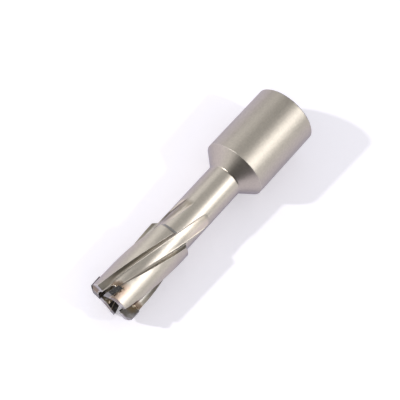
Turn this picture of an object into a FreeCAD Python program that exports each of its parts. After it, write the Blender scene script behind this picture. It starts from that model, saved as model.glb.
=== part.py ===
import FreeCAD, Part
import math
import os
import Sketcher

# Annular cutter with brazed carbide teeth, for a magnetic drill. Millimetres.
# It stands on the end of its shank: the origin is the centre of that end, and +Z runs along the axis to the teeth.
# It turns anticlockwise seen from the teeth, so the leading side of tooth 1, which points along +X, faces +Y.

doc = FreeCAD.newDocument("AnnularCutter")

# Driving dimensions: name, value, what it is
SIZES = [
    ("ShankDiameter", 19.05, "plain shank, three quarters of an inch"),
    ("ShankLength", 23.1, "from the shank's end to the cone"),
    ("ShankChamfer", 0.3, "chamfer round the shank's end"),
    ("FlatStart", 6.5, "height where the drive flats begin"),
    ("FlatEnd", 17.5, "height where the drive flats end"),
    ("FlatDistance", 8.25, "from the axis to each drive flat"),
    ("FlatAngle", 45, "half the angle between the two drive flats, either side of +Y"),
    ("ConeLength", 4.1, "from the shank down to the neck"),
    ("ConeHollow", 0.5, "radius of the hollow where the cone meets the neck"),
    ("NeckDiameter", 10.6, "slim neck between the cone and the head"),
    ("NeckEnd", 49.7, "height where the head begins"),
    ("ShoulderLength", 1.0, "sloping shoulder at the start of the head"),
    ("ShoulderRound", 0.25, "radius of the round on the shoulder's edge"),
    ("HeadStartDiameter", 12.9, "across the lands at the shoulder"),
    ("HeadEndDiameter", 13.5, "across the lands at the teeth"),
    ("RimHeight", 74.25, "from the shank's end to the steel rim between the teeth"),
    ("PilotBore", 6.4, "for the 6.35 mm pilot pin"),
    ("PilotChamfer", 0.4, "chamfer where the pilot bore leaves the shank"),
    ("SlugBore", 8.2, "hollow that takes the slug"),
    ("SlugFloor", 38.0, "height of the slug bore's floor"),
    ("SlugFloorAngle", 59, "half the drill point's angle at that floor"),
    ("FluteFloor", 5.0, "radius of a flute's floor, which follows the bore"),
    ("FluteRunout", 45.5, "height below which the floor rises out of the neck"),
    ("FluteRunoutRadius", 50, "radius of that rise"),
    ("FluteAngle", 37.9, "direction of a flute's middle at the rim, from the tooth behind it"),
    ("FluteTwist", 2.535, "degrees that a flute turns for each millimetre of height"),
    ("FluteFloorWidth", 2.1, "width of the floor at the rim"),
    ("FluteFloorGrowth", 0.055, "how much the floor widens for each millimetre below the rim"),
    ("FluteMouthRadius", 6.2, "where the mouth's width is measured"),
    ("FluteMouthWidth", 3.91, "width of the mouth at the rim"),
    ("FluteMouthGrowth", 0.096, "how much the mouth widens for each millimetre below the rim"),
    ("FluteReach", 8.0, "how far out the cutter that mills the flute reaches"),
    ("FluteCorner", 0.45, "radius of the flute's inner corners"),
    ("ToothCount", 4, "teeth, and flutes between them"),
    ("CutDiameter", 14.0, "across the carbide teeth: the size of the hole"),
    ("CutLength", 75.0, "from the shank's end to the cutting edges"),
    ("TipInnerDiameter", 7.8, "clearance round the slug inside the teeth"),
    ("TipFoot", 71.15, "height of the lower end of a carbide tip"),
    ("TipThickness", 1.3, "of a carbide tip, across its inclined faces"),
    ("RakeAngle", 15.1, "lean of the tip's leading face"),
    ("RakeOffset", 2.52, "distance of the leading face from the radius, at the rim"),
    ("CrestRadius", 5.9, "where the end of a tooth begins to fall away outwards"),
    ("OuterBevelAngle", 34, "slope of that outer bevel"),
    ("ReliefAngle", 13, "fall of the end of a tooth behind its cutting edge"),
    ("BrazeGap", 0.12, "thickness of the braze behind and under a tip"),
    ("GulletFoot", 71.4, "height of the rounded end of the gullet in front of a tip"),
    ("GulletWidth", 1.05, "width of the gullet"),
    ("GulletRound", 0.9, "radius of the gullet's rounded end"),
    ("SideReach", 2.0, "how close to the axis the tools that cut seat and gullet come"),
]

sheet = doc.addObject("Spreadsheet::Sheet", "Sizes")
for row, (alias, value, meaning) in enumerate(SIZES, start=1):
    sheet.set(f"A{row}", alias)
    sheet.set(f"B{row}", str(value))
    sheet.set(f"C{row}", meaning)
    sheet.setAlias(f"B{row}", alias)
doc.recompute()

# Heights of the outlines that a flute is lofted through: close together in the run-out, wider apart along the head
FLUTE_STATIONS = [38.3, 40.4, 42.8, 45.5, 49.5, 54.5, 59.5, 64.5, 69.5, 75.0]

# Expressions used in several outlines
FLOOR_HEIGHT = "Sizes.SlugFloor - (Sizes.SlugBore - Sizes.PilotBore) / 2 / tan(Sizes.SlugFloorAngle * 1deg)"
RAKE_LEAN = "tan(Sizes.RakeAngle * 1deg)"
TIP_SPAN = "Sizes.TipThickness / cos(Sizes.RakeAngle * 1deg)"
GAP_SPAN = "Sizes.BrazeGap / cos(Sizes.RakeAngle * 1deg)"
ABOVE = "(Sizes.CutLength + 1)"
RELIEF = "tan(Sizes.ReliefAngle * 1deg)"
HEEL = f"(Sizes.CutLength - {TIP_SPAN} * {RELIEF})"


def worked_out(expression):
    """The value of an expression in the sheet's names, as a plain number."""
    value = sheet.evalExpression(expression)
    return float(getattr(value, "Value", value))


def rake_line(height, behind="0"):
    """How far the leading face stands from the radius at a height, or a surface that lies behind it."""
    return f"(Sizes.RakeOffset + (({height}) - Sizes.RimHeight) * {RAKE_LEAN} - ({behind}))"


def bevel_height(radius, crest):
    """Height at a radius of the bevel that falls outwards from the crest of the teeth."""
    return f"({crest} - ({radius} - Sizes.CrestRadius) * tan(Sizes.OuterBevelAngle * 1deg))"


def new_body(label, turn=0.0):
    """A sub-part with its own label, turned about the axis."""
    body = doc.addObject("PartDesign::Body", label)
    body.Label = label
    body.Placement = FreeCAD.Placement(FreeCAD.Vector(0, 0, 0), FreeCAD.Rotation(FreeCAD.Vector(0, 0, 1), turn))
    return body


def new_sketch(body, name, plane, offset=None, turn=None):
    """A sketch on one of the body's own planes, moved along its normal and turned about it."""
    sketch = body.newObject("Sketcher::SketchObject", name)
    support = next(item for item in body.Origin.OriginFeatures if item.Role == plane)
    sketch.AttachmentSupport = [(support, "")]
    sketch.MapMode = "FlatFace"
    if offset is not None:
        sketch.setExpression("AttachmentOffset.Base.z", offset)
    if turn is not None:
        sketch.setExpression("AttachmentOffset.Rotation.Angle", turn)
    return sketch


def hold_point(sketch, geometry, vertex, across, up):
    """Fix a point of the sketch at two expressions measured from its origin."""
    for kind, expression in (("DistanceX", across), ("DistanceY", up)):
        value = worked_out(expression)
        index = sketch.addConstraint(Sketcher.Constraint(kind, -1, 1, geometry, vertex, value))
        sketch.setExpression(f"Constraints[{index}]", expression)


def rounded_corner(place, before, after, radius):
    """Where a rounded corner leaves one line, passes its middle and meets the next line."""
    back = (before - place).normalize()
    on = (after - place).normalize()
    half = back.getAngle(on) / 2
    reach = radius / math.tan(half)
    centre = place + (back + on).normalize() * (radius / math.sin(half))
    middle = centre + (place - centre).normalize() * radius
    return place + back * reach, middle, place + on * reach


def end_at(sketch, geometry, place):
    """Which end of a line or arc lies at a place: 1 for its start, 2 for its end."""
    return 1 if sketch.getPoint(geometry, 1).distanceToPoint(place) < 1e-6 else 2


def draw_outline(sketch, corners):
    """A closed outline of straight lines. A corner is two expressions, and a third rounds it to that radius."""
    places = [FreeCAD.Vector(worked_out(corner[0]), worked_out(corner[1]), 0) for corner in corners]
    count = len(corners)
    arcs = {}
    for i, corner in enumerate(corners):
        if len(corner) == 3:
            arcs[i] = rounded_corner(places[i], places[i - 1], places[(i + 1) % count], worked_out(corner[2]))
    first = sketch.GeometryCount
    for i in range(count):
        following = (i + 1) % count
        start = arcs[i][2] if i in arcs else places[i]
        end = arcs[following][0] if following in arcs else places[following]
        sketch.addGeometry(Part.LineSegment(start, end), False)
    for i, corner in enumerate(corners):
        line_in = first + (i - 1) % count
        line_out = first + i
        if i not in arcs:
            sketch.addConstraint(Sketcher.Constraint("Coincident", line_in, 2, line_out, 1))
            hold_point(sketch, line_out, 1, corner[0], corner[1])
            continue
        entry, middle, leave = arcs[i]
        arc = sketch.addGeometry(Part.Arc(entry, middle, leave), False)
        sharp = sketch.addGeometry(Part.Point(places[i]), True)
        for line, line_end, place in ((line_in, 2, entry), (line_out, 1, leave)):
            sketch.addConstraint(Sketcher.Constraint("Tangent", line, line_end, arc, end_at(sketch, arc, place)))
            sketch.addConstraint(Sketcher.Constraint("PointOnObject", sharp, 1, line))
        hold_point(sketch, sharp, 1, corner[0], corner[1])
        index = sketch.addConstraint(Sketcher.Constraint("Radius", arc, worked_out(corner[2])))
        sketch.setExpression(f"Constraints[{index}]", corner[2])


def shape_ok(item):
    """Whether an object computed without an error and holds a sound shape."""
    return not {"Invalid", "Error"} & set(item.State) and not item.Shape.isNull() and item.Shape.isValid()


def check_removed(before, feature, name):
    """A cut that points away from the metal removes nothing, so the volume must fall."""
    doc.recompute()
    after = feature.Shape.Volume
    assert shape_ok(feature), f"{name} failed"
    assert after < before - 0.01, f"{name} cut nothing"
    print(f"{name}: {before:.1f} to {after:.1f} cubic mm")
    return after


def turned_blank(body):
    """Shank, cone, neck and head, turned and bored in one piece of steel."""
    sketch = new_sketch(body, "HalfSection", "XZ_Plane")
    draw_outline(sketch, [
        ("Sizes.PilotBore / 2 + Sizes.PilotChamfer", "0"),
        ("Sizes.ShankDiameter / 2 - Sizes.ShankChamfer", "0"),
        ("Sizes.ShankDiameter / 2", "Sizes.ShankChamfer"),
        ("Sizes.ShankDiameter / 2", "Sizes.FlatStart"),
        ("Sizes.ShankDiameter / 2", "Sizes.FlatEnd"),
        ("Sizes.ShankDiameter / 2", "Sizes.ShankLength"),
        ("Sizes.NeckDiameter / 2", "Sizes.ShankLength + Sizes.ConeLength", "Sizes.ConeHollow"),
        ("Sizes.NeckDiameter / 2", "Sizes.NeckEnd"),
        ("Sizes.HeadStartDiameter / 2", "Sizes.NeckEnd + Sizes.ShoulderLength", "Sizes.ShoulderRound"),
        ("Sizes.HeadEndDiameter / 2", bevel_height("Sizes.HeadEndDiameter / 2", HEEL)),
        ("Sizes.CrestRadius", HEEL),
        ("Sizes.SlugBore / 2", HEEL),
        ("Sizes.SlugBore / 2", "Sizes.SlugFloor"),
        ("Sizes.PilotBore / 2", FLOOR_HEIGHT),
        ("Sizes.PilotBore / 2", "Sizes.PilotChamfer"),
    ])
    blank = body.newObject("PartDesign::Revolution", "Blank")
    blank.Profile = sketch
    blank.ReferenceAxis = (sketch, ["V_Axis"])
    blank.Angle = 360
    blank.Refine = False
    doc.recompute()
    assert shape_ok(blank), "the blank failed"


def drive_flats(body):
    """Two flats for the arbor's grub screws, milled square across the shank a quarter turn apart."""
    volume = body.Tip.Shape.Volume
    for number, side in enumerate(("-", "+"), start=1):
        sketch = new_sketch(body, f"FlatOutline{number}", "XY_Plane", "Sizes.FlatEnd", f"90 {side} Sizes.FlatAngle")
        draw_outline(sketch, [
            ("Sizes.FlatDistance", "-Sizes.ShankDiameter / 2"),
            ("Sizes.ShankDiameter", "-Sizes.ShankDiameter / 2"),
            ("Sizes.ShankDiameter", "Sizes.ShankDiameter / 2"),
            ("Sizes.FlatDistance", "Sizes.ShankDiameter / 2"),
        ])
        flat = body.newObject("PartDesign::Pocket", f"DriveFlat{number}")
        flat.Profile = sketch
        flat.Type = "Length"
        flat.setExpression("Length", "Sizes.FlatEnd - Sizes.FlatStart")
        flat.Refine = False
        volume = check_removed(volume, flat, f"drive flat {number}")


def draw_flute(sketch, radius, foot, half_foot, half_reach):
    """A flute's section: an arc about the axis as its floor, a rounded corner each side, and walls that open outwards."""
    floor_radius = worked_out(radius)
    corner_radius = worked_out("Sizes.FluteCorner")
    start = FreeCAD.Vector(worked_out(foot), worked_out(half_foot), 0)
    reach = FreeCAD.Vector(worked_out("Sizes.FluteReach"), worked_out(half_reach), 0)
    along = (reach - start).normalize()
    inset = start + FreeCAD.Vector(along.y, -along.x, 0) * corner_radius
    lean = inset.dot(along)
    run = math.sqrt(lean**2 - inset.dot(inset) + (floor_radius + corner_radius) ** 2) - lean
    centre = inset + along * run
    on_wall = start + along * run
    on_floor = centre * (floor_radius / (floor_radius + corner_radius))
    middle = centre + ((on_wall + on_floor) / 2 - centre).normalize() * corner_radius

    def mirrored(place):
        return FreeCAD.Vector(place.x, -place.y, 0)

    lower_wall = sketch.addGeometry(Part.LineSegment(mirrored(on_wall), mirrored(reach)), False)
    outside = sketch.addGeometry(Part.LineSegment(mirrored(reach), reach), False)
    upper_wall = sketch.addGeometry(Part.LineSegment(reach, on_wall), False)
    upper_corner = sketch.addGeometry(Part.Arc(on_wall, middle, on_floor), False)
    floor_middle = FreeCAD.Vector(floor_radius, 0, 0)
    floor = sketch.addGeometry(Part.Arc(on_floor, floor_middle, mirrored(on_floor)), False)
    lower_corner = sketch.addGeometry(Part.Arc(mirrored(on_floor), mirrored(middle), mirrored(on_wall)), False)
    sketch.addConstraint(Sketcher.Constraint("Coincident", lower_wall, 2, outside, 1))
    sketch.addConstraint(Sketcher.Constraint("Coincident", outside, 2, upper_wall, 1))
    sketch.addConstraint(Sketcher.Constraint("Coincident", floor, 3, -1, 1))
    joints = [
        (upper_wall, upper_corner, on_wall),
        (upper_corner, floor, on_floor),
        (floor, lower_corner, mirrored(on_floor)),
        (lower_corner, lower_wall, mirrored(on_wall)),
    ]
    for one, other, place in joints:
        ends = (one, end_at(sketch, one, place), other, end_at(sketch, other, place))
        sketch.addConstraint(Sketcher.Constraint("Tangent", *ends))
    for wall, sign in ((lower_wall, "-"), (upper_wall, "")):
        wall_foot = FreeCAD.Vector(start.x, worked_out(sign + half_foot), 0)
        mark = sketch.addGeometry(Part.Point(wall_foot), True)
        sketch.addConstraint(Sketcher.Constraint("PointOnObject", mark, 1, wall))
        hold_point(sketch, mark, 1, foot, sign + half_foot)
    hold_point(sketch, outside, 1, "Sizes.FluteReach", "-" + half_reach)
    hold_point(sketch, outside, 2, "Sizes.FluteReach", half_reach)
    sizes = ((floor, radius), (upper_corner, "Sizes.FluteCorner"), (lower_corner, "Sizes.FluteCorner"))
    for arc, expression in sizes:
        index = sketch.addConstraint(Sketcher.Constraint("Radius", arc, worked_out(expression)))
        sketch.setExpression(f"Constraints[{index}]", expression)


def flute_outline(body, number, station):
    """Section of a flute at one height. Its floor follows the bore, so the wall left behind it has one thickness."""
    turn = f"Sizes.FluteAngle + ({station} - Sizes.RimHeight) * Sizes.FluteTwist"
    sketch = new_sketch(body, f"FluteOutline{number}", "XY_Plane", str(station), turn)
    radius = "Sizes.FluteFloor"
    if station < worked_out("Sizes.FluteRunout"):
        radius = f"(Sizes.FluteFloor + (Sizes.FluteRunout - {station})^2 / 2 / Sizes.FluteRunoutRadius)"
    below_rim = f"(Sizes.RimHeight - {station})"
    half_foot = f"((Sizes.FluteFloorWidth + {below_rim} * Sizes.FluteFloorGrowth) / 2)"
    half_mouth = f"((Sizes.FluteMouthWidth + {below_rim} * Sizes.FluteMouthGrowth) / 2)"
    foot = f"sqrt({radius}^2 - {half_foot}^2)"
    opening = f"(Sizes.FluteReach - {foot}) / (Sizes.FluteMouthRadius - {foot})"
    half_reach = f"({half_foot} + ({half_mouth} - {half_foot}) * {opening})"
    draw_flute(sketch, radius, foot, half_foot, half_reach)
    return sketch


def flute_cut(body):
    """One flute: it winds up the head, widens away from the teeth and runs out in the neck."""
    volume = body.Tip.Shape.Volume
    outlines = [flute_outline(body, number, station) for number, station in enumerate(FLUTE_STATIONS, start=1)]
    doc.recompute()
    flute = body.newObject("PartDesign::SubtractiveLoft", "Flute")
    flute.Profile = outlines[0]
    flute.Sections = outlines[1:]
    flute.Ruled = False
    flute.Refine = False
    check_removed(volume, flute, "flute")
    return flute


def side_cut(body, name, corners, volume):
    """A cut made from the side of the head through its wall, drawn in the plane of +Y and +Z."""
    sketch = new_sketch(body, name + "Outline", "YZ_Plane", "Sizes.FluteReach")
    draw_outline(sketch, corners)
    cut = body.newObject("PartDesign::Pocket", name)
    cut.Profile = sketch
    cut.Type = "Length"
    cut.setExpression("Length", "Sizes.FluteReach - Sizes.SideReach")
    cut.Refine = False
    check_removed(volume, cut, name)
    return cut


def seat_corners():
    """Seat of a carbide tip: the tip's own outline with room for the braze behind it and under it."""
    foot = "(Sizes.TipFoot - Sizes.BrazeGap)"
    back = f"{TIP_SPAN} + {GAP_SPAN}"
    return [
        (rake_line(foot), foot),
        (rake_line(ABOVE), ABOVE),
        (rake_line(ABOVE, back), ABOVE),
        (rake_line(foot, back), foot),
    ]


def gullet_corners():
    """Gullet: a narrow slot in front of the leading face, leaning with it, with its far corner rounded off."""
    foot = "Sizes.GulletFoot"
    return [
        (rake_line(foot), foot),
        (rake_line(foot, "-Sizes.GulletWidth"), foot, "Sizes.GulletRound"),
        (rake_line(ABOVE, "-Sizes.GulletWidth"), ABOVE),
        (rake_line(ABOVE), ABOVE),
    ]


def ramp_corners():
    """What is ground off the end of a land: level at the rim, and rising in a ramp to the heel of its tip."""
    heel = rake_line(HEEL, TIP_SPAN)
    return [
        ("-Sizes.FluteReach", "Sizes.RimHeight"),
        (f"{heel} - ({HEEL} - Sizes.RimHeight) / {RELIEF}", "Sizes.RimHeight"),
        (heel, HEEL),
        (heel, ABOVE),
        ("-Sizes.FluteReach", ABOVE),
    ]


def cutter_body():
    """The steel body: one piece from the shank to the lands that carry the teeth."""
    body = new_body("cutter_body")
    turned_blank(body)
    drive_flats(body)
    flute = flute_cut(body)
    seat = side_cut(body, "TipSeat", seat_corners(), flute.Shape.Volume)
    gullet = side_cut(body, "Gullet", gullet_corners(), seat.Shape.Volume)
    ramp = side_cut(body, "LandEnd", ramp_corners(), gullet.Shape.Volume)
    volume = ramp.Shape.Volume
    pattern = body.newObject("PartDesign::PolarPattern", "RoundTheHead")
    pattern.Originals = [flute, seat, gullet, ramp]
    axis = next(item for item in body.Origin.OriginFeatures if item.Role == "Z_Axis")
    pattern.Axis = (axis, [""])
    pattern.Angle = 360
    pattern.setExpression("Occurrences", "Sizes.ToothCount")
    pattern.Refine = False
    body.Tip = pattern
    check_removed(volume, pattern, "pattern round the head")
    return body


def side_slab(body, corners):
    """A slab with this outline in the plane of +Y and +Z, long enough to reach through the head's wall."""
    sketch = new_sketch(body, "SlabOutline", "YZ_Plane", "Sizes.FluteReach")
    draw_outline(sketch, corners)
    slab = body.newObject("PartDesign::Pad", "Slab")
    slab.Profile = sketch
    slab.setExpression("Length", "Sizes.FluteReach - Sizes.SideReach")
    slab.Reversed = True
    doc.recompute()
    assert shape_ok(slab), f"{body.Label} slab failed"
    return slab.Shape.Volume


def ring_trim(body, volume, outer, inner, crest):
    """Grind a slab to the ring between two radii, with the bevel that falls outwards from its crest."""
    sketch = new_sketch(body, "RingOutline", "XZ_Plane")
    below = "(Sizes.TipFoot - 2)"
    beyond = "(Sizes.FluteReach + 2)"
    draw_outline(sketch, [
        (outer, below),
        (beyond, below),
        (beyond, ABOVE),
        ("Sizes.CrestRadius", ABOVE),
        ("Sizes.CrestRadius", crest),
        (outer, bevel_height(outer, crest)),
    ])
    draw_outline(sketch, [("0.5", below), (inner, below), (inner, ABOVE), ("0.5", ABOVE)])
    trim = body.newObject("PartDesign::Groove", "RingTrim")
    trim.Profile = sketch
    trim.ReferenceAxis = (sketch, ["V_Axis"])
    trim.Angle = 360
    check_removed(volume, trim, f"{body.Label} ring")


def carbide_tip(number, turn):
    """A brazed tooth: a leaning slab of carbide, ground to the cut's two radii and relieved behind its edge."""
    body = new_body(f"carbide_tip_{number}", turn)
    foot = "Sizes.TipFoot"
    edge = "Sizes.CutLength"
    volume = side_slab(body, [
        (rake_line(foot), foot),
        (rake_line(edge), edge),
        (rake_line(HEEL, TIP_SPAN), HEEL),
        (rake_line(foot, TIP_SPAN), foot),
    ])
    ring_trim(body, volume, "Sizes.CutDiameter / 2", "Sizes.TipInnerDiameter / 2", edge)
    return body


def braze_seam(number, turn):
    """The braze between a tip and its seat: a thin L, behind the tip and under it."""
    body = new_body(f"braze_seam_{number}", turn)
    foot = "Sizes.TipFoot"
    below = "(Sizes.TipFoot - Sizes.BrazeGap)"
    back = f"{TIP_SPAN} + {GAP_SPAN}"
    volume = side_slab(body, [
        (rake_line(below), below),
        (rake_line(foot), foot),
        (rake_line(foot, TIP_SPAN), foot),
        (rake_line(HEEL, TIP_SPAN), HEEL),
        (f"{rake_line(HEEL, TIP_SPAN)} - {GAP_SPAN}", f"{HEEL} - {GAP_SPAN} * {RELIEF}"),
        (rake_line(below, back), below),
    ])
    ring_trim(body, volume, "Sizes.HeadStartDiameter / 2", "Sizes.SlugBore / 2", HEEL)
    return body


sub_parts = [cutter_body()]
tooth_count = int(worked_out("Sizes.ToothCount"))
for tooth in range(tooth_count):
    quarter = 360 / tooth_count * tooth
    sub_parts.append(carbide_tip(tooth + 1, quarter))
    sub_parts.append(braze_seam(tooth + 1, quarter))

doc.recompute()
for item in doc.Objects:
    assert not {"Invalid", "Error"} & set(item.State), f"{item.Label} did not compute"

os.makedirs("parts", exist_ok=True)
for body in sub_parts:
    shape = body.Shape
    assert not shape.isNull() and shape.isValid() and len(shape.Solids) == 1, f"{body.Label} is not one sound solid"
    shape.exportStep(f"parts/{body.Label}.step")
    box = shape.BoundBox
    print(f"{body.Label}: {shape.Volume:.1f} cubic mm, {box.XLength:.2f} x {box.YLength:.2f} x {box.ZLength:.2f} mm")
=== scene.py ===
# %% [markdown]
# # Annular cutter: looks in Blender
# An annular cutter is a short steel tube with teeth on its rim. It cuts a ring and leaves a slug of metal in
# the middle. The packed model gives the exact solids: one steel body, four carbide teeth and the braze that
# holds them. This lesson sets up the photograph's view and light, then gives each surface its finish.

# %% Load the packed model
import math

import bmesh
import bpy
from mathutils import Matrix, Vector, noise


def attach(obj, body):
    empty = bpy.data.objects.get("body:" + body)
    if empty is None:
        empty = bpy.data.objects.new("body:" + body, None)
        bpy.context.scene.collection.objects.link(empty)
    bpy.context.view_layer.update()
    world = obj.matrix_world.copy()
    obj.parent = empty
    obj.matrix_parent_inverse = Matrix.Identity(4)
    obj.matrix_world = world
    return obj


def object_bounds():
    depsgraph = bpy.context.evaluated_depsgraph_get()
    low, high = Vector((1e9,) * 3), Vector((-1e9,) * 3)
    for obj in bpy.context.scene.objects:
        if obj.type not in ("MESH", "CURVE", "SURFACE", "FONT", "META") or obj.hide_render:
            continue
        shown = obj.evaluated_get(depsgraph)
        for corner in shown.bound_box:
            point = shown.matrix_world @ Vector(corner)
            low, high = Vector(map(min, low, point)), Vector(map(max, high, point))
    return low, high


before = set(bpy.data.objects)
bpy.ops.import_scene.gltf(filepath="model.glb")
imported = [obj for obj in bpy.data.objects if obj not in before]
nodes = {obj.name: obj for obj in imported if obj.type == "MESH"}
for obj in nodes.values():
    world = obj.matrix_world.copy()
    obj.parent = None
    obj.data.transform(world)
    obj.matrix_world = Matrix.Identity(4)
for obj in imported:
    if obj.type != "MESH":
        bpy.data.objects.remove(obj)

cad_low, cad_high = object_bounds()
MM = 0.001
print("nodes:", ", ".join(sorted(nodes)))
print("box in mm:", [round(length / MM, 2) for length in cad_high - cad_low])

# %% [markdown]
# ## The view
# In the photograph the cutter lies on a white table with its teeth towards us, low and left. In the model it
# stands on its shank. A camera could be placed by eye, but three facts fix it: where the middle of the
# shank's end is from the lens, which way the axis points in the picture, and how far it leans towards us.
# From them the code works out the camera's axes.

# %% Camera
PICTURE_PIXELS = 400
FOCAL_PIXELS = 1063.3
SENSOR_MM = 36.0
NEAREST_SEEN = 0.01
FARTHEST_SEEN = 20.0
SHANK_END_FROM_LENS = Vector((24.22, -24.38, 302.4))  # mm to the right, down and away
AXIS_TURN = math.radians(132.8)  # direction of the teeth in the picture, clockwise from the right
AXIS_LEAN = math.radians(20.27)  # how far the teeth lean out of the picture towards the lens

# Directions below are written as right, down and away, as the lens sees them.
to_teeth = Vector((
    math.cos(AXIS_TURN) * math.cos(AXIS_LEAN),
    math.sin(AXIS_TURN) * math.cos(AXIS_LEAN),
    -math.sin(AXIS_LEAN),
))
to_lens = Vector((0, 0, -1))
front = (to_lens - to_lens.dot(to_teeth) * to_teeth).normalized()
side = to_teeth.cross(front)


def in_row(direction):
    """What the lens sees, in the row's own axes: +X to the side, -Y to the front, +Z to the teeth."""
    return Vector((direction.dot(side), -direction.dot(front), direction.dot(to_teeth)))


camera_data = bpy.data.cameras.new("camera")
camera_data.sensor_width = SENSOR_MM
camera_data.lens = FOCAL_PIXELS * SENSOR_MM / PICTURE_PIXELS
camera_data.clip_start = NEAREST_SEEN
camera_data.clip_end = FARTHEST_SEEN
camera = bpy.data.objects.new("camera", camera_data)
bpy.context.scene.collection.objects.link(camera)
bpy.context.scene.camera = camera

right, up, back = in_row(Vector((1, 0, 0))), in_row(Vector((0, -1, 0))), in_row(to_lens)
place = in_row(-SHANK_END_FROM_LENS) * MM
camera.matrix_world = Matrix.Translation(place) @ Matrix((right, up, back)).transposed().to_4x4()
print("camera at", [round(value, 4) for value in camera.location], "lens in mm:", round(camera_data.lens, 1))

# %% [markdown]
# ## Directions around the tool
# Lamps, table and finishes are all easier to place by two angles about the tool's axis: how far round from
# the front, and how far up towards the teeth. One small helper turns them into a direction.


# %% Direction helper
def around(turn, rise):
    """Unit vector turned by degrees from the front to the picture's right, then raised towards the teeth."""
    turn, rise = math.radians(turn), math.radians(rise)
    return Vector((-math.sin(turn) * math.cos(rise), -math.cos(turn) * math.cos(rise), math.sin(rise)))


print("front:", [round(value, 2) for value in around(0, 0)])
print("right:", [round(value, 2) for value in around(90, 0)])

# %% [markdown]
# ## A helper for node materials
# Every finish here is a small network of nodes. Making a node by hand takes three lines, so a helper does
# it: it creates a node, fills its sockets with numbers or links, and returns it. The rest of the helper is
# short names for the few kinds of node that every finish uses.


# %% Node helper
class Finish:
    """A material's node tree with short ways to add nodes."""

    def __init__(self, name):
        self.material = bpy.data.materials.new(name)
        self.material.use_nodes = True
        self.tree = self.material.node_tree
        self.tree.nodes.clear()

    def node(self, kind, inputs=(), **settings):
        """Add a node; inputs maps a socket's name or number to a value or to another node's output."""
        made = self.tree.nodes.new("ShaderNode" + kind)
        for key, value in settings.items():
            setattr(made, key, value)
        for key, value in dict(inputs).items():
            if isinstance(value, bpy.types.NodeSocket):
                self.tree.links.new(value, made.inputs[key])
            else:
                made.inputs[key].default_value = value
        return made

    def math(self, operation, a, b=0.0, c=0.0):
        """One step of arithmetic on numbers or sockets."""
        return self.node("Math", {0: a, 1: b, 2: c}, operation=operation).outputs[0]

    def vector(self, operation, a, b=(0, 0, 0)):
        """One step of arithmetic on vectors."""
        made = self.node("VectorMath", {0: a, 1: b}, operation=operation)
        return made.outputs["Value"] if operation == "DOT_PRODUCT" else made.outputs["Vector"]

    def smooth(self, value, start, end):
        """Rises softly from 0 at start to 1 at end, also where end is the smaller number."""
        ramp = self.node("MapRange", {"Value": value, 1: start, 2: end}, interpolation_type="SMOOTHSTEP")
        return ramp.outputs["Result"]

    def both(self, a, b):
        """Where two masks overlap."""
        return self.math("MULTIPLY", a, b)

    def band(self, value, start, full, fade, end):
        """1 between full and fade, falling softly to 0 at start and at end."""
        return self.both(self.smooth(value, start, full), self.smooth(value, end, fade))

    def mix(self, amount, a, b):
        """Blend two colours."""
        return self.node("Mix", {0: amount, 6: a, 7: b}, data_type="RGBA").outputs[2]

    def noise(self, vector, scale, detail=3.0, roughness=0.55):
        """Soft random pattern, about 0.5 on average, with scale in features per unit of the vector."""
        sockets = {"Vector": vector, "Scale": scale, "Detail": detail, "Roughness": roughness}
        return self.node("TexNoise", sockets).outputs[0]

    def colours(self, value, stops):
        """Colours along a scale from 0 to 1."""
        made = self.node("ValToRGB", {0: value})
        ramp = made.color_ramp
        while len(ramp.elements) < len(stops):
            ramp.elements.new(0.5)
        for element, (position, colour) in zip(ramp.elements, stops):
            element.position = position
            element.color = colour
        return made.outputs[0]

    def show(self, shader):
        """Send a shader to the surface and hand back the finished material."""
        output = self.node("OutputMaterial")
        self.tree.links.new(shader, output.inputs["Surface"])
        return self.material


def grey(level):
    """A neutral colour."""
    return (level, level, level, 1)


print("short names:", ", ".join(name for name in vars(Finish) if not name.startswith("_")))

# %% [markdown]
# ## The table
# The cutter rests on the edge of its cone and on its lowest tooth, so the table is a plane through those
# two, a little off the axis. It could be any white floor, but its place matters here: the two long shadows
# beside the tool fall on it, and the lower half of each cylinder mirrors it. It glows a little, more to the
# lens than to the metal, so that it is a white background without washing the metal out. Seen from below it
# is clear, so that the back of the tool stays in view.

# %% Table
SHANK_RADIUS = cad_high.x / MM
SHANK_TOP = 23.1
TOOTH_RADIUS = 6.95
TOOTH_TOP = 74.2
TABLE_TURN = -3.8  # degrees round the tool from the front to the table's normal
TABLE_SIZE = 3.0
TABLE_CORNERS = ((-1, -1), (1, -1), (1, 1), (-1, 1))
TABLE_WHITE = (0.87, 0.838, 0.90, 1)
TABLE_GLOW = 0.265  # to the lens
TABLE_MIRRORED = 0.13  # to the metal
LILAC = (0.6, 0.55, 1.0, 1)


def table_finish():
    paint = Finish("table_white")
    rays = paint.node("LightPath").outputs
    lens_glow = paint.math("MULTIPLY", rays["Is Camera Ray"], TABLE_GLOW)
    metal_glow = paint.math("MAXIMUM", rays["Is Glossy Ray"], rays["Is Transmission Ray"])
    metal_glow = paint.math("MULTIPLY", metal_glow, TABLE_MIRRORED)
    card = paint.node("BsdfDiffuse", {"Color": TABLE_WHITE}).outputs[0]
    seen = paint.node("Emission", {"Color": grey(1), "Strength": lens_glow}).outputs[0]
    mirrored = paint.node("Emission", {"Color": LILAC, "Strength": metal_glow}).outputs[0]
    glow = paint.node("AddShader", {0: seen, 1: mirrored}).outputs[0]
    white = paint.node("AddShader", {0: card, 1: glow}).outputs[0]
    below = paint.node("NewGeometry").outputs["Backfacing"]
    hidden = paint.math("MULTIPLY", below, rays["Is Camera Ray"])
    clear = paint.node("BsdfTransparent").outputs[0]
    return paint.show(paint.node("MixShader", {0: hidden, 1: white, 2: clear}).outputs[0])


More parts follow.
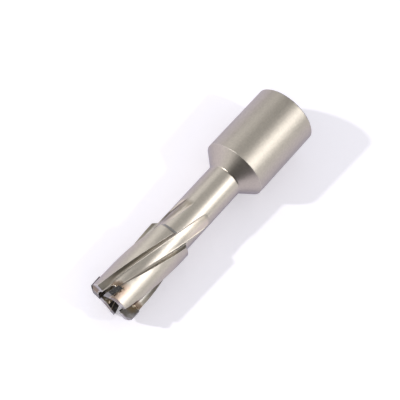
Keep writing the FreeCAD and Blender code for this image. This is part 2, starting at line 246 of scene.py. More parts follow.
def make_table():
    """Add the table and hand back how far it leans from the tool's axis, in degrees."""
    lean = math.degrees(math.atan2(SHANK_RADIUS - TOOTH_RADIUS, TOOTH_TOP - SHANK_TOP))
    normal = around(TABLE_TURN, -lean)
    touch = around(TABLE_TURN, 0) * (-SHANK_RADIUS * MM) + Vector((0, 0, SHANK_TOP * MM))
    along = around(TABLE_TURN, 90 - lean)
    across = along.cross(normal)
    half = TABLE_SIZE / 2
    corners = [touch + across * (x * half) + along * (y * half) for x, y in TABLE_CORNERS]
    if (corners[1] - corners[0]).cross(corners[2] - corners[0]).dot(normal) < 0:
        corners.reverse()
    mesh = bpy.data.meshes.new("table")
    mesh.from_pydata(corners, [], [(0, 1, 2, 3)])
    table = bpy.data.objects.new("table", mesh)
    bpy.context.scene.collection.objects.link(table)
    table.data.materials.append(table_finish())
    return lean


print("table leans from the axis by degrees:", round(make_table(), 2))

# %% [markdown]
# ## The light
# The shadows give the lamps away. One stands to the left on the teeth's side and makes the long shadow on
# the right. The other stands to the right on the shank's side and makes the faint shadow on the left. Both
# are small, because the shadows' edges are crisp. The bright line on the steel and its soft shoulders come
# from a soft box near the right lamp, so that lamp itself is left out of reflections.

# %% Lamps
LAMP_DISTANCE = 0.9
LAMPS = {
    "left_lamp": {"turn": -47, "rise": 31, "size": 0.035, "watts": 3.4, "mirrored": True},
    "right_lamp": {"turn": 36, "rise": -19, "size": 0.035, "watts": 0.9, "mirrored": False},
}
tool_middle = (cad_low + cad_high) / 2


def make_lamp(name, turn, rise, size, watts, mirrored):
    data = bpy.data.lights.new(name, "AREA")
    data.shape = "DISK"
    data.size = size
    data.energy = watts
    lamp = bpy.data.objects.new(name, data)
    bpy.context.scene.collection.objects.link(lamp)
    lamp.location = tool_middle + around(turn, rise) * LAMP_DISTANCE
    lamp.rotation_mode = "QUATERNION"
    lamp.rotation_quaternion = around(turn, rise).to_track_quat("Z", "Y")
    lamp.visible_camera = False
    lamp.visible_glossy = mirrored


for name, settings in LAMPS.items():
    make_lamp(name, **settings)
print("lamps:", ", ".join(LAMPS))

# %% [markdown]
# ## The room
# Satin metal shows little of its own colour: it shows what stands around it. A grey dome alone would leave
# the steel flat, so the dome has lighter patches where the studio had soft boxes and pale walls, and it
# stays dim in between, which gives the dark bands beside the bright line. Only the metal's reflections see
# the patches. Everything else gets one even level, and the lens doesn't see the dome at all.

# %% Room
ROOM_RADIUS = 1.6
ROOM_PLAIN = 0.62  # the even level
ROOM_TINT = (0.985, 1.0, 1.035, 1)
ROOM_WALLS = {
    "soft_box": {"turn": 30, "rise": -20, "spread": 12, "level": 2.0},
    "soft_box_core": {"turn": 30, "rise": -20, "spread": 5, "level": 2.0},
    "soft_box_halo": {"turn": 30, "rise": -20, "spread": 22, "level": 1.5},
    "left_wall": {"turn": -80, "rise": 0, "spread": 22, "level": 1.0},
    "left_wall_foot": {"turn": -65, "rise": -25, "spread": 14, "level": 0.7},
    "left_front": {"turn": -42, "rise": -20, "spread": 14, "level": 0.7},
    "left_top": {"turn": -80, "rise": 48, "spread": 22, "level": 0.8},
    "front": {"turn": -12, "rise": -20, "spread": 14, "level": 0.7},
    "top": {"turn": 0, "rise": 72, "spread": 26, "level": 0.1},
    "right_front": {"turn": 65, "rise": -20, "spread": 12, "level": 0.8},
    "right_wall": {"turn": 92, "rise": -20, "spread": 13, "level": 1.5},
}
WALL_CORE = 0.4  # share of the spread up to which a patch is at full level
WALL_EDGE = 1.6  # share of the spread where it ends


def room_finish():
    paint = Finish("room")
    direction = paint.vector("NORMALIZE", paint.node("TexCoord").outputs["Object"])
    level = 0.0
    for wall in ROOM_WALLS.values():
        along = paint.vector("DOT_PRODUCT", direction, tuple(around(wall["turn"], wall["rise"])))
        edge = math.cos(math.radians(wall["spread"] * WALL_EDGE))
        core = math.cos(math.radians(wall["spread"] * WALL_CORE))
        patch = paint.math("MULTIPLY", paint.smooth(along, edge, core), wall["level"])
        level = paint.math("ADD", level, patch)
    mirrored = paint.node("LightPath").outputs["Is Glossy Ray"]
    level = paint.math("MULTIPLY_ADD", mirrored, paint.math("SUBTRACT", level, ROOM_PLAIN), ROOM_PLAIN)
    return paint.show(paint.node("Emission", {"Color": ROOM_TINT, "Strength": level}).outputs[0])


def make_room():
    bpy.ops.mesh.primitive_uv_sphere_add(segments=48, ring_count=24, radius=ROOM_RADIUS, location=tool_middle)
    room = bpy.context.object
    room.name = "room"
    room.data.materials.append(room_finish())
    room.visible_camera = False


make_room()
print("room walls:", ", ".join(ROOM_WALLS))

# %% [markdown]
# ## White beyond the room
# The lens looks through the dome, so a plain white world closes the picture behind the table.

# %% World
world = bpy.data.worlds.new("white_world")
world.use_nodes = True
world.node_tree.nodes["Background"].inputs["Color"].default_value = grey(1)
bpy.context.scene.world = world
print("world:", world.name)

# %% [markdown]
# ## Where things are on the tool
# Machining marks, heat colours and stains follow the tool's shape, so the finishes need to know where they
# are: how high above the shank's end, how far from the axis, and how far behind the cutting face of the
# nearest tooth. The same pattern repeats at every quarter turn, which a wrap of the angle gives in one step.

# %% Places on the tool
RIM_HEIGHT = 74.25
RAKE_SLOPE = math.tan(math.radians(15.1))  # the teeth's cutting faces lean by this angle
RAKE_OFFSET = 2.52  # how far a cutting face stands from the radius at the rim
QUARTER_START = math.radians(-50)  # a tooth's quarter, by the angle from the tooth
QUARTER_END = math.radians(40)
TIP_FOOT = 71.15
SEAT_DEPTH = 1.47  # tooth and braze together, from the cutting face back
FLUTE_TWIST = math.radians(2.535)  # a flute's turn for each millimetre of height
EDGE_SHARPNESS = (0.995, 0.93)  # agreement of softened and true normal: open surface, sharp edge
BEVEL_SAMPLES = 6


class ToolFinish(Finish):
    """A finish that knows its place on the tool, in millimetres."""

    def __init__(self, name):
        super().__init__(name)
        metres = self.node("TexCoord").outputs["Object"]
        self.place = self.node("VectorMath", {0: metres, "Scale": 1 / MM}, operation="SCALE").outputs[0]
        x, y, self.height = self.node("SeparateXYZ", {0: self.place}).outputs
        self.radius = self.math("SQRT", self.math("ADD", self.both(x, x), self.both(y, y)))
        normal = self.node("NewGeometry").outputs["Normal"]
        level_place = self.node("CombineXYZ", {0: x, 1: y}).outputs[0]
        outwards = self.vector("DOT_PRODUCT", normal, self.vector("NORMALIZE", level_place))
        self.faces_outwards = self.math("ABSOLUTE", outwards)
        self.faces_up = self.math("ABSOLUTE", self.node("SeparateXYZ", {0: normal}).outputs[2])
        from_tooth = self.math("WRAP", self.math("ARCTAN2", y, x), QUARTER_END, QUARTER_START)
        self.out = self.math("MULTIPLY", self.radius, self.math("COSINE", from_tooth))
        sideways = self.math("MULTIPLY", self.radius, self.math("SINE", from_tooth))
        face = self.math("MULTIPLY_ADD", self.height, RAKE_SLOPE, RAKE_OFFSET - RIM_HEIGHT * RAKE_SLOPE)
        self.behind = self.math("SUBTRACT", face, sideways)

    def turned_back(self, twist, start=0.0):
        """The place on the tool with a helix made straight; start turns all of it."""
        angle = self.math("MULTIPLY_ADD", self.height, -twist, start)
        turned = self.node("VectorRotate", {"Vector": self.place, "Angle": angle}, rotation_type="Z_AXIS")
        return turned.outputs[0]

    def rough_surface(self, height_mm, edge_mm):
        """Normal of a surface with fine relief, its sharp edges softened to a small radius."""
        softened = self.node("Bevel", {"Radius": edge_mm * MM}, samples=BEVEL_SAMPLES).outputs[0]
        sockets = {"Strength": 1.0, "Distance": MM, "Height": height_mm, "Normal": softened}
        return self.node("Bump", sockets).outputs[0]

    def edges(self, width_mm):
        """1 along sharp outer edges, 0 on open surfaces."""
        softened = self.node("Bevel", {"Radius": width_mm * MM}, samples=BEVEL_SAMPLES).outputs[0]
        flat = self.node("NewGeometry").outputs["Normal"]
        return self.smooth(self.vector("DOT_PRODUCT", softened, flat), *EDGE_SHARPNESS)


print("mm of height for a flute's full turn:", round(2 * math.pi / FLUTE_TWIST))

# %% [markdown]
# ## Steel
# The body is turned from bar, fluted, hardened and blasted to a warm satin grey. A plain grey metal would
# look like plastic foil, so the colour is built in layers, one cell after the other, each laid over the last
# where its mask says. First come the patterns that several layers share: blotches, frost and pits from
# blasting, rings left by turning, streaks that run along the flutes, and masks for the parts of the body. In
# these values a pair gives where a mask starts and where it is full, and four give both ends of a band.

# %% Steel patterns
STEEL = (0.57, 0.515, 0.435, 1)
STEEL_DULL = (0.515, 0.465, 0.395, 1)
BLOTCHES_PER_MM = 1.7
FROST_PER_MM = 9
PITS_PER_MM = 1.9
RINGS_PER_MM = 5.0
STREAKS_PER_MM = 4.5
STREAK_STRETCH = (1, 1, 0.06)  # draws the streaks out along the flute
DULL_BLOTCHES = (0.3, 0.7)
SHANK_ENDS = (23.0, 23.3)  # heights and distances from the axis are in millimetres
FLUTES_BEGIN = (38, 40)
FLOOR_RADII = (4.3, 4.6, 5.1, 5.2)
STEEP = (0.5, 0.3)
SHOULDER_SLOPE = (0.55, 0.72)
SHOULDER_HEIGHTS = (49.5, 49.8, 50.7, 51.0)
BORE_RADII = (4.35, 4.15)
BORE_BEGINS = (0.2, 1.0)
RIM_HEIGHTS = (73.6, 73.9)
RIM_SLOPE = (0.5, 0.8)


class SteelFinish(ToolFinish):
    """The body's finish: its patterns, its masks, and a colour on which more colours are laid."""

    def __init__(self, name):
        super().__init__(name)
        self.make_patterns()
        self.make_masks()
        self.colour = self.mix(self.smooth(self.blotches, *DULL_BLOTCHES), STEEL_DULL, STEEL)

    def make_patterns(self):
        self.blotches = self.noise(self.place, BLOTCHES_PER_MM, detail=4)
        self.frost = self.noise(self.place, FROST_PER_MM, detail=2)
        self.pits = self.noise(self.place, PITS_PER_MM, detail=3)
        section = self.node("CombineXYZ", {0: self.radius, 1: self.height}).outputs[0]
        self.rings = self.noise(section, RINGS_PER_MM, detail=2)
        drawn_out = self.vector("MULTIPLY", self.turned_back(FLUTE_TWIST), STREAK_STRETCH)
        self.streaks = self.noise(drawn_out, STREAKS_PER_MM, detail=3)

    def make_masks(self):
        self.above_shank = self.smooth(self.height, *SHANK_ENDS)
        fluted = self.smooth(self.height, *FLUTES_BEGIN)
        self.on_floor = self.both(fluted, self.band(self.radius, *FLOOR_RADII))
        steep = self.both(self.smooth(self.faces_outwards, *STEEP), self.smooth(self.faces_up, *STEEP))
        self.on_wall = self.both(fluted, steep)
        sloping = self.smooth(self.faces_up, *SHOULDER_SLOPE)
        self.on_shoulder = self.both(sloping, self.band(self.height, *SHOULDER_HEIGHTS))
        near_axis = self.smooth(self.radius, *BORE_RADII)
        self.in_bore = self.both(near_axis, self.smooth(self.height, *BORE_BEGINS))
        level = self.smooth(self.faces_up, *RIM_SLOPE)
        self.on_rim = self.both(self.smooth(self.height, *RIM_HEIGHTS), level)

    def lay(self, mask, colour):
        """Lay a colour over what is there, as strongly as the mask says."""
        self.colour = self.mix(mask, self.colour, colour)


steel_paint = SteelFinish("satin_steel")
print("nodes in the steel's patterns and masks:", len(steel_paint.tree.nodes))

# %% [markdown]
# ### Flute walls
# A flute's walls face each other and look darker than its floor. At this size their reflections alone come
# out too pale, so painted shade darkens the walls too. The painted shade fades towards the rim, where light
# falls in from the open end, and a painted highlight runs along the corner between wall and floor.

# %% Flute walls
PAINTED_SHADE_BROWN = (0.21, 0.18, 0.14, 1)
WEAR_AND_HIGHLIGHT_BRIGHT = (0.86, 0.82, 0.74, 1)
WALL_DARKNESS = 0.6
WALL_FADES = (68, 73.2)
WALL_RADII = (5.3, 5.9)
CORNER_RADII = (5.8, 5.3)
CORNER_HEIGHTS = (72, 69)


def lay_flute_walls(paint):
    fade = paint.smooth(paint.height, *WALL_FADES)
    wall = paint.math("MULTIPLY_ADD", fade, -WALL_DARKNESS, WALL_DARKNESS)
    wall = paint.both(wall, paint.smooth(paint.radius, *WALL_RADII))
    # Painted shade on the flute walls, fading towards the rim.
    paint.lay(paint.both(paint.on_wall, wall), PAINTED_SHADE_BROWN)
    low_on_wall = paint.smooth(paint.radius, *CORNER_RADII)
    corner = paint.both(low_on_wall, paint.smooth(paint.height, *CORNER_HEIGHTS))
    # Painted highlight along the corner between wall and floor.
    paint.lay(paint.both(paint.on_wall, corner), WEAR_AND_HIGHLIGHT_BRIGHT)


lay_flute_walls(steel_paint)
print("nodes with the flute walls:", len(steel_paint.tree.nodes))

# %% [markdown]
# ### Flute floors and run-outs
# The flutes run on past the head and die out on the neck. Their last stretch is paler and a little warmer. On
# one of them a dark line of painted shade runs beside a floor darkened by painted shade. The line climbs
# round the neck faster than the flute does, so it gets a helix of its own, which is turned straight and then
# painted as a wedge. Bright streaks along the cut go over all the floors.

# %% Flute floors
RUN_OUT_WARM = (0.74, 0.65, 0.53, 1)
RUN_OUT_HEIGHTS = (39, 40.5, 46, 50)
RUN_OUT_RADII = (5.28, 5.18)
SHADE_LINE_TURN = math.radians(219)
SHADE_LINE_TWIST = math.radians(4.4)  # for each millimetre of height
SHADE_LINE_POINT = 37.5  # height at which the wedge would come to a point
SHADE_LINE_WIDENING = 0.1  # half width gained in each millimetre above it
SHADE_LINE_EDGE = (1.0, 0.5)  # shares of the half width
SHADE_LINE_HEIGHTS = (39.5, 41, 48, 50)
SHADE_LINE_SIDE = (3.5, 4.2)  # keeps it off the far side of the neck
SHADED_FLOOR = (-2.8, -2.0, -0.1, 0.3)  # to one side of the line
FLOOR_SHADE_DEPTH = 0.7
STEEL_BRIGHT = (0.66, 0.60, 0.53, 1)
BRIGHT_STREAKS = (0.5, 0.75)


def painted_shade_line(paint):
    """Mask of the painted shade: a dark line and a darker floor beside it."""
    turned = paint.turned_back(SHADE_LINE_TWIST, SHADE_LINE_TURN)
    facing, beside, _ = paint.node("SeparateXYZ", {0: turned}).outputs
    half_width = paint.math("MULTIPLY_ADD", paint.height, SHADE_LINE_WIDENING, -SHADE_LINE_WIDENING * SHADE_LINE_POINT)
    line = paint.math("DIVIDE", paint.math("ABSOLUTE", beside), half_width)
    floor_shade = paint.math("MULTIPLY", paint.band(beside, *SHADED_FLOOR), FLOOR_SHADE_DEPTH)
    shade_mask = paint.math("MAXIMUM", paint.smooth(line, *SHADE_LINE_EDGE), floor_shade)
    shade_mask = paint.both(shade_mask, paint.smooth(facing, *SHADE_LINE_SIDE))
    return paint.both(shade_mask, paint.band(paint.height, *SHADE_LINE_HEIGHTS))


def lay_flute_floors(paint):
    shallow = paint.smooth(paint.radius, *RUN_OUT_RADII)
    paint.lay(paint.both(paint.band(paint.height, *RUN_OUT_HEIGHTS), shallow), RUN_OUT_WARM)
    # Painted shade: a dark line and a darker floor beside it on one run-out.
    paint.lay(painted_shade_line(paint), PAINTED_SHADE_BROWN)
    paint.lay(paint.both(paint.on_floor, paint.smooth(paint.streaks, *BRIGHT_STREAKS)), STEEL_BRIGHT)


lay_flute_floors(steel_paint)
print("nodes with the flute floors:", len(steel_paint.tree.nodes))

# %% [markdown]
# ### Shoulder, shank's end, bore and rim
# The small step behind the head gets a flat grey of painted shade, and the edge of the shank's end gets a
# dark painted shade. The slug bore is painted dark deep inside as shade and lighter at its mouth as painted
# light, and the mouth is also stained. The rim between the teeth is ground, and so it is pale.

# %% Shoulder, bore and rim
SHOULDER_SHADE_GREY = (0.40, 0.39, 0.37, 1)
SHANK_FOOT = (0.3, 0.15)
BORE_DARK = (0.09, 0.08, 0.07, 1)
BORE_MOUTH = (0.52, 0.48, 0.42, 1)
BORE_STAIN = (0.24, 0.18, 0.11, 1)
MOUTH_HEIGHTS = (62, 71)
STAINS_PER_MM = 0.9
STAINED_MOUTH = (0.42, 0.56)
RIM_GROUND = (0.66, 0.635, 0.555, 1)
GROUND_BLOTCHES = (0.25, 0.5)


def lay_bore(paint):
    stained = paint.smooth(paint.noise(paint.place, STAINS_PER_MM, detail=4), *STAINED_MOUTH)
    mouth = paint.mix(stained, BORE_MOUTH, BORE_STAIN)
    # Painted shade deep in the bore, painted light at its mouth, stains over the mouth.
    paint.lay(paint.in_bore, paint.mix(paint.smooth(paint.height, *MOUTH_HEIGHTS), BORE_DARK, mouth))


# Painted shade: a flat grey on the shoulder.
steel_paint.lay(steel_paint.on_shoulder, SHOULDER_SHADE_GREY)
# Painted shade along the edge of the shank's end.
steel_paint.lay(steel_paint.smooth(steel_paint.height, *SHANK_FOOT), PAINTED_SHADE_BROWN)
lay_bore(steel_paint)
ground = steel_paint.smooth(steel_paint.blotches, *GROUND_BLOTCHES)
steel_paint.lay(steel_paint.both(steel_paint.on_rim, ground), RIM_GROUND)
print("nodes with the bore and the rim:", len(steel_paint.tree.nodes))

# %% [markdown]
# ### Heat
# Brazing leaves colours in the steel round each seat: nearly black at the braze, then brown, then tan. A ring
# drawn round the tooth would look printed, so the distance from the seat gets noise added before it picks its
# colour. The flute in front of a tooth is scorched, and soot lies in the bore beside the seats.

# %% Distance from the heat
HEAT_REACH = 2.6  # how far the heat colours spread from a seat
RAGGED_PER_MM = 1.8
RAGGED = 1.6  # how far the noise moves the colours
RAGGED_START = -0.75
NEARER_AT_RIM = -0.45  # the colours reach further at the rim
NEARER_HEIGHTS = (72.6, 74.0)


def distance_from_heat(paint):
    """0 at the braze and 1 where the heat colours end, with a ragged front."""
    before = paint.math("MULTIPLY", paint.behind, -1)
    beside = paint.math("MAXIMUM", paint.math("SUBTRACT", paint.behind, SEAT_DEPTH), before)
    beside = paint.math("MAXIMUM", beside, 0)
    under = paint.math("MAXIMUM", paint.math("SUBTRACT", TIP_FOOT, paint.height), 0)
    gap = paint.math("SQRT", paint.math("ADD", paint.both(beside, beside), paint.both(under, under)))
    gap = paint.math("MULTIPLY_ADD", paint.smooth(paint.height, *NEARER_HEIGHTS), NEARER_AT_RIM, gap)
    moved = paint.noise(paint.place, RAGGED_PER_MM, detail=5)
    moved = paint.math("MULTIPLY_ADD", moved, RAGGED, RAGGED_START)
    return paint.math("DIVIDE", paint.math("ADD", gap, moved), HEAT_REACH)


heat = distance_from_heat(steel_paint)
print("nodes with the distance from the heat:", len(steel_paint.tree.nodes))

# %% Heat colours
HEAT_COLOURS = [
    (0.0, (0.09, 0.06, 0.045, 1)),
    (0.07, (0.22, 0.15, 0.10, 1)),
    (0.16, (0.50, 0.37, 0.275, 1)),
    (0.5, (0.585, 0.455, 0.36, 1)),
    (1.0, STEEL),
]
SCORCHED = (0.15, 0.105, 0.065, 1)
SCORCH_DEPTH = 0.75
SCORCH_BEHIND = (0.9, 0.5)  # behind the cutting face
SCORCH_HEAT = (0.9, 0.5)  # these pairs are distances from the heat
TOAST_HEAT = (1.0, 0.75)
HEAT_FADES = (1.05, 0.6)
SOOT_HEAT = (0.45, 0.2)
RIM_TOASTED = (0.32, 0.25, 0.175, 1)
BORE_SOOT = (0.03, 0.025, 0.02, 1)
OUTSIDE_BORE = (4.3, 4.6)


def lay_heat(paint, heat):
    heated = paint.colours(heat, HEAT_COLOURS)
    in_front = paint.both(paint.smooth(paint.behind, *SCORCH_BEHIND), paint.smooth(heat, *SCORCH_HEAT))
    heated = paint.mix(paint.math("MULTIPLY", in_front, SCORCH_DEPTH), heated, SCORCHED)
    heated = paint.mix(paint.both(paint.on_rim, paint.smooth(heat, *TOAST_HEAT)), heated, RIM_TOASTED)
    near = paint.both(paint.smooth(heat, *HEAT_FADES), paint.smooth(paint.radius, *OUTSIDE_BORE))
    paint.lay(near, heated)
    paint.lay(paint.both(paint.in_bore, paint.smooth(heat, *SOOT_HEAT)), BORE_SOOT)


lay_heat(steel_paint, heat)
print("nodes with the heat:", len(steel_paint.tree.nodes))

# %% [markdown]
# ### Wear and relief
# Handling polishes every sharp edge, which a bevel node finds by comparing the true surface with a softened
# one. The relief is detail of some hundredths of a millimetre, stronger on the blasted shank than on the
# ground head.

# %% Wear and relief
WORN_EDGE = 0.2
WEAR = 0.8
SHANK_GRAIN = 0.013
HEAD_GRAIN = 0.004
PITS_AGAINST_FROST = 3.0
BLOTCH_RELIEF = 0.006
RING_RELIEF = 0.003
STREAK_RELIEF = 0.01


def steel_relief(paint):
    """Height of the surface in millimetres."""
    grain = paint.math("MULTIPLY_ADD", paint.above_shank, HEAD_GRAIN - SHANK_GRAIN, SHANK_GRAIN)
    in_flute = paint.math("MAXIMUM", paint.on_floor, paint.on_wall)
    relief = paint.both(paint.frost, grain)
    relief = paint.math("MULTIPLY_ADD", paint.blotches, BLOTCH_RELIEF, relief)
    relief = paint.math("MULTIPLY_ADD", paint.both(paint.pits, grain), PITS_AGAINST_FROST, relief)
    relief = paint.math("MULTIPLY_ADD", paint.both(paint.rings, paint.above_shank), RING_RELIEF, relief)
    return paint.math("MULTIPLY_ADD", paint.both(paint.streaks, in_flute), STREAK_RELIEF, relief)


steel_paint.lay(steel_paint.math("MULTIPLY", steel_paint.edges(WORN_EDGE), WEAR), WEAR_AND_HIGHLIGHT_BRIGHT)
relief = steel_relief(steel_paint)
print("nodes with wear and relief:", len(steel_paint.tree.nodes))

# %% [markdown]
# ### Gloss
# The head is a little shinier than the shank. The shoulder and the bore are less metallic, so that the even
# level lights their painted shade and light. Real steel loses some warmth where it curves away from us, which
# the tint sets.

# %% Steel
SHANK_ROUGHNESS = 0.39
HEAD_ROUGHNESS = 0.32
ROUGHNESS_SPREAD = 0.08
MATTE_FOR_PAINTED_LIGHT = 0.75
STEEL_GLANCING = (0.80, 0.815, 0.91, 1)
SOFT_EDGE = 0.12


def finish_steel(paint, relief):
    lowest = SHANK_ROUGHNESS - ROUGHNESS_SPREAD / 2
    roughness = paint.math("MULTIPLY_ADD", paint.above_shank, HEAD_ROUGHNESS - SHANK_ROUGHNESS, lowest)
    shade_painted_places = paint.math("MAXIMUM", paint.in_bore, paint.on_shoulder)
    shader = paint.node("BsdfPrincipled", {
        "Base Color": paint.colour,
        "Metallic": paint.math("MULTIPLY_ADD", shade_painted_places, -MATTE_FOR_PAINTED_LIGHT, 1.0),
        "Roughness": paint.math("MULTIPLY_ADD", paint.blotches, ROUGHNESS_SPREAD, roughness),
        "Specular Tint": STEEL_GLANCING,
        "Normal": paint.rough_surface(relief, SOFT_EDGE),
    })
    return paint.show(shader.outputs[0])


steel = finish_steel(steel_paint, relief)
print("nodes in the steel:", len(steel.node_tree.nodes))

# %% [markdown]
# ## Carbide teeth
# The teeth are sintered carbide, much darker than the steel. Their ends are ground to a cutting edge, which
# leaves fine parallel lines and a paler grey, and the cutting face is honed bright near its outer corner.
# The rest keeps a dull skin with brown stains from the braze.

# %% Carbide colours
CARBIDE_SKIN = (0.085, 0.085, 0.09, 1)
CARBIDE_WORN = (0.26, 0.25, 0.22, 1)
CARBIDE_GROUND = (0.31, 0.30, 0.285, 1)
CARBIDE_FRONT = (0.23, 0.215, 0.195, 1)
CARBIDE_HONED = (0.44, 0.415, 0.39, 1)
CARBIDE_STAIN = (0.22, 0.165, 0.095, 1)
CARBIDE_STAINS_PER_MM = 1.1
WORN_SKIN = (0.52, 0.72)
CUTTING_FACE = (0.1, 0.02)  # distances behind it
FRONT_LEAST = 0.5  # how strongly its colour shows where it is least worn
HONED_OUT = (4.4, 6.0)  # distances from the axis along the tooth
HONED_HEIGHTS = (72.4, 73.8)
HONED_STAINS = (0.3, 0.6)
STAINED_HEIGHTS = (74.4, 71.9)
CLEAN_OUT = (5.6, 6.9)
STAINED_SKIN = (0.68, 0.48)
STAINED_LEAST = 0.12
GROUND_SLOPE = (0.35, 0.6)


def carbide_colour(paint, worn):
    stains = paint.noise(paint.place, CARBIDE_STAINS_PER_MM, detail=5, roughness=0.6)
    colour = paint.mix(paint.smooth(worn, *WORN_SKIN), CARBIDE_SKIN, CARBIDE_WORN)
    in_front = paint.smooth(paint.behind, *CUTTING_FACE)
    uneven = paint.math("MULTIPLY_ADD", worn, 1 - FRONT_LEAST, FRONT_LEAST)
    colour = paint.mix(paint.both(in_front, uneven), colour, CARBIDE_FRONT)
    corner = paint.both(paint.smooth(paint.out, *HONED_OUT), paint.smooth(paint.height, *HONED_HEIGHTS))
    honed = paint.both(paint.both(in_front, corner), paint.smooth(stains, *HONED_STAINS))
    colour = paint.mix(honed, colour, CARBIDE_HONED)
    clean = paint.smooth(paint.out, *CLEAN_OUT)
    low = paint.math("SUBTRACT", paint.smooth(paint.height, *STAINED_HEIGHTS), clean)
    stained = paint.math("MAXIMUM", paint.both(in_front, low), STAINED_LEAST)
    stained = paint.both(stained, paint.smooth(stains, *STAINED_SKIN))
    colour = paint.mix(stained, colour, CARBIDE_STAIN)
    return paint.mix(paint.smooth(paint.faces_up, *GROUND_SLOPE), colour, CARBIDE_GROUND)


print("carbide's skin against the steel, in brightness:", round(CARBIDE_SKIN[1] / STEEL[1], 2))

# %% [markdown]
# ### Grinding lines
# The wheel leaves lines across the teeth, so the noise is squeezed in height until it turns into lines. Where
# the skin is worn it is also a little rougher.

# %% Carbide
GRINDING_LINES = (1, 1, 6)  # squeezes the pattern into lines that lie across the height
LINES_PER_MM = 4.0
LINE_RELIEF = 0.004
WEAR_PER_MM = 2.2
WEAR_RELIEF = 0.006
CARBIDE_ROUGHNESS = 0.33
CARBIDE_ROUGHER = 0.1  # added where the skin is worn
CARBIDE_SOFT_EDGE = 0.06


def carbide_finish():
    paint = ToolFinish("ground_carbide")
    lines = paint.noise(paint.vector("MULTIPLY", paint.place, GRINDING_LINES), LINES_PER_MM, detail=2)
    worn = paint.noise(paint.place, WEAR_PER_MM, detail=4)
    relief = paint.math("MULTIPLY_ADD", lines, LINE_RELIEF, paint.math("MULTIPLY", worn, WEAR_RELIEF))
    shader = paint.node("BsdfPrincipled", {
        "Base Color": carbide_colour(paint, worn),
        "Metallic": 1.0,
        "Roughness": paint.math("MULTIPLY_ADD", worn, CARBIDE_ROUGHER, CARBIDE_ROUGHNESS),
        "Normal": paint.rough_surface(relief, CARBIDE_SOFT_EDGE),
    })
    return paint.show(shader.outputs[0])


carbide = carbide_finish()
print("nodes in the carbide:", len(carbide.node_tree.nodes))

# %% [markdown]
# ## Braze
# A silver braze the colour of pale gold fills the gap behind and under each tooth. Where it cooled in the
# open it has a skin of brown flux, which covers much of the thin film in the seams. The beads, which come
# later, are brighter and less metallic, a painted highlight on their gold, because a small mirror ball in a
# dark gullet only looks black.

# %% Braze
BRAZE_GOLD = (0.80, 0.62, 0.38, 1)
BRAZE_GOLD_AND_HIGHLIGHT = (1.0, 0.84, 0.62, 1)
BRAZE_FLUX = (0.16, 0.10, 0.055, 1)
FLUX_PER_MM = 2.6
FLUX_SOFTNESS = 0.15
FLUX_RELIEF = 0.02
BRAZE_ROUGHNESS = 0.15
BRAZE_ROUGHER = 0.3  # added where the flux is thick
BRAZE_SOFT_EDGE = 0.05


def braze_finish(name, metal, flux_from, metallic):
    """Braze with flux on it wherever the noise is above flux_from."""
    paint = ToolFinish(name)
    skin = paint.noise(paint.place, FLUX_PER_MM, detail=4)
    fluxed = paint.smooth(skin, flux_from, flux_from + FLUX_SOFTNESS)
    relief = paint.math("MULTIPLY", skin, FLUX_RELIEF)
    shader = paint.node("BsdfPrincipled", {
        "Base Color": paint.mix(fluxed, metal, BRAZE_FLUX),
        "Metallic": metallic,
        "Roughness": paint.math("MULTIPLY_ADD", skin, BRAZE_ROUGHER, BRAZE_ROUGHNESS),
        "Normal": paint.rough_surface(relief, BRAZE_SOFT_EDGE),
    })
    return paint.show(shader.outputs[0])


film = braze_finish("braze_film", BRAZE_GOLD, flux_from=0.47, metallic=1.0)
# The beads' pale gold carries a painted highlight.
bead_finish = braze_finish("braze_bead", BRAZE_GOLD_AND_HIGHLIGHT, flux_from=0.75, metallic=0.25)
print("braze finishes:", film.name, bead_finish.name)

# %% [markdown]
# ## Give each node its finish
# The packed nodes keep their exact meshes and only get a material. Like nodes share a name up to their
# number, so the start of the name picks the finish.

# %% Finishes on the nodes
finishes = {"cutter_body": steel, "carbide_tip": carbide, "braze_seam": film}
for name, node in nodes.items():
    finish = next(made for start, made in finishes.items() if name.startswith(start))
    node.material_slots[0].material = finish
print("finishes:", ", ".join(finish.name for finish in finishes.values()))

# %% [markdown]
# ## Beads of braze
# Molten braze creeps out of a seam and freezes in small lumps where the tooth meets the flute. A ball pushed
# into the steel would look like a ball, so a bead is a tube along a few points with its own thickness at
# each. Random noise then pushes its skin in and out. Half of it is sunk in the metal, as a drop that wets
# the metal would be.

# %% Bead places
BEAD_POINTS = {  # the tooth's quarter, then out from the axis, behind the cutting face, height and radius
    "braze_bead_1": (0, [
        (4.66, 0.02, 71.95, 0.05), (4.7, -0.02, 71.45, 0.22), (4.92, 0, 71.1, 0.2), (5.5, 0.05, 71.02, 0.06),
    ]),
    "braze_bead_2": (1, [
        (4.66, 0.02, 72.1, 0.05), (4.7, -0.02, 71.6, 0.18), (4.86, 0, 71.15, 0.26), (5.3, 0.05, 71.04, 0.07),
    ]),
    "braze_bead_3": (2, [
        (4.64, -0.02, 71.85, 0.1), (4.72, -0.16, 71.4, 0.44), (4.9, 0, 71.0, 0.2), (5.4, 0.08, 70.95, 0.05),
    ]),
    "braze_bead_4": (3, [
        (4.66, 0.02, 71.8, 0.05), (4.72, -0.02, 71.4, 0.2), (5.0, 0, 71.08, 0.18), (5.5, 0.05, 71.03, 0.05),
    ]),
    "braze_drop": (1, [
        (4.12, 2.55, 73.78, 0.08), (4.1, 2.7, 73.6, 0.26), (4.12, 2.8, 73.35, 0.2), (4.16, 2.85, 73.1, 0.06),
    ]),
}


def on_tooth(quarter, out, behind, height):
    """A place given by a tooth, in the row's axes."""
    sideways = RAKE_OFFSET + (height - RIM_HEIGHT) * RAKE_SLOPE - behind
    spin = Matrix.Rotation(math.radians(90 * quarter), 3, "Z")
    return spin @ Vector((out, sideways, height))


print("beads:", ", ".join(BEAD_POINTS))

# %% [markdown]
# ### Rings of a bead
# Rings of points are set along the tube, and the noise pushes each point in or out. The thickness eases from
# one place to the next, so that no ring stands out as a corner.

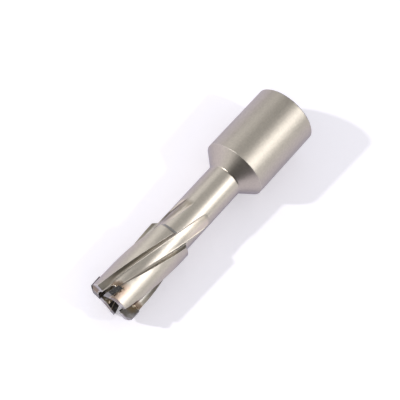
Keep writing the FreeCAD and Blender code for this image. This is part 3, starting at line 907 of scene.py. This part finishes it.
# %% Bead rings
BEAD_SIDES = 12
BEAD_STEPS = 7  # rings from one point to the next
LUMP_SIZE = 0.45  # share of the radius by which the noise moves the skin
LUMPS_PER_MM = 2.6


def bead_ring(build, middle, radius, across, above):
    """Points round one place of the tube."""
    ring = []
    for number in range(BEAD_SIDES):
        angle = 2 * math.pi * number / BEAD_SIDES
        spoke = across * math.cos(angle) + above * math.sin(angle)
        lump = 1 + LUMP_SIZE * noise.noise((middle + spoke * radius) * LUMPS_PER_MM)
        ring.append(build.verts.new((middle + spoke * radius * lump) * MM))
    return ring


def bead_rings(build, places, radii):
    """All rings from the first place to the last."""
    rings = []
    for leg in range(len(places) - 1):
        along = (places[leg + 1] - places[leg]).normalized()
        across = along.orthogonal().normalized()
        above = along.cross(across)
        for step in range(BEAD_STEPS):
            share = step / BEAD_STEPS
            eased = share * share * (3 - 2 * share)
            middle = places[leg].lerp(places[leg + 1], share)
            radius = radii[leg] + (radii[leg + 1] - radii[leg]) * eased
            rings.append(bead_ring(build, middle, radius, across, above))
    return rings


print("points in a ring:", BEAD_SIDES)

# %% [markdown]
# ### Skin of a bead
# Faces join each ring to the next, and a point at each end closes the tube. A bead rides on the cutter, as
# the braze does that it came from.


# %% Beads
def close_bead(build, rings, first_tip, last_tip):
    """Join the rings with faces and close both ends."""
    for first, second in zip(rings, rings[1:]):
        for a in range(BEAD_SIDES):
            b = (a + 1) % BEAD_SIDES
            build.faces.new((first[a], first[b], second[b], second[a]))
    for ring, tip in ((rings[0], first_tip), (rings[-1], last_tip)):
        point = build.verts.new(tip * MM)
        for a in range(BEAD_SIDES):
            build.faces.new((ring[a], ring[(a + 1) % BEAD_SIDES], point))
    bmesh.ops.recalc_face_normals(build, faces=build.faces)


def make_bead(name, quarter, points):
    """Add one bead and hand back how many faces it has."""
    places = [on_tooth(quarter, *point[:3]) for point in points]
    radii = [point[3] for point in points]
    build = bmesh.new()
    close_bead(build, bead_rings(build, places, radii), places[0], places[-1])
    mesh = bpy.data.meshes.new(name)
    build.to_mesh(mesh)
    build.free()
    mesh.shade_smooth()
    bead = bpy.data.objects.new(name, mesh)
    bpy.context.scene.collection.objects.link(bead)
    bead.data.materials.append(bead_finish)
    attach(bead, "root")
    return len(mesh.polygons)


print("faces in the beads:", sum(make_bead(name, *settings) for name, settings in BEAD_POINTS.items()))

# %% [markdown]
# ## Colour view
# Standard shows the colours as they were set, without a film look.

# %% Colour view
bpy.context.scene.view_settings.view_transform = "Standard"
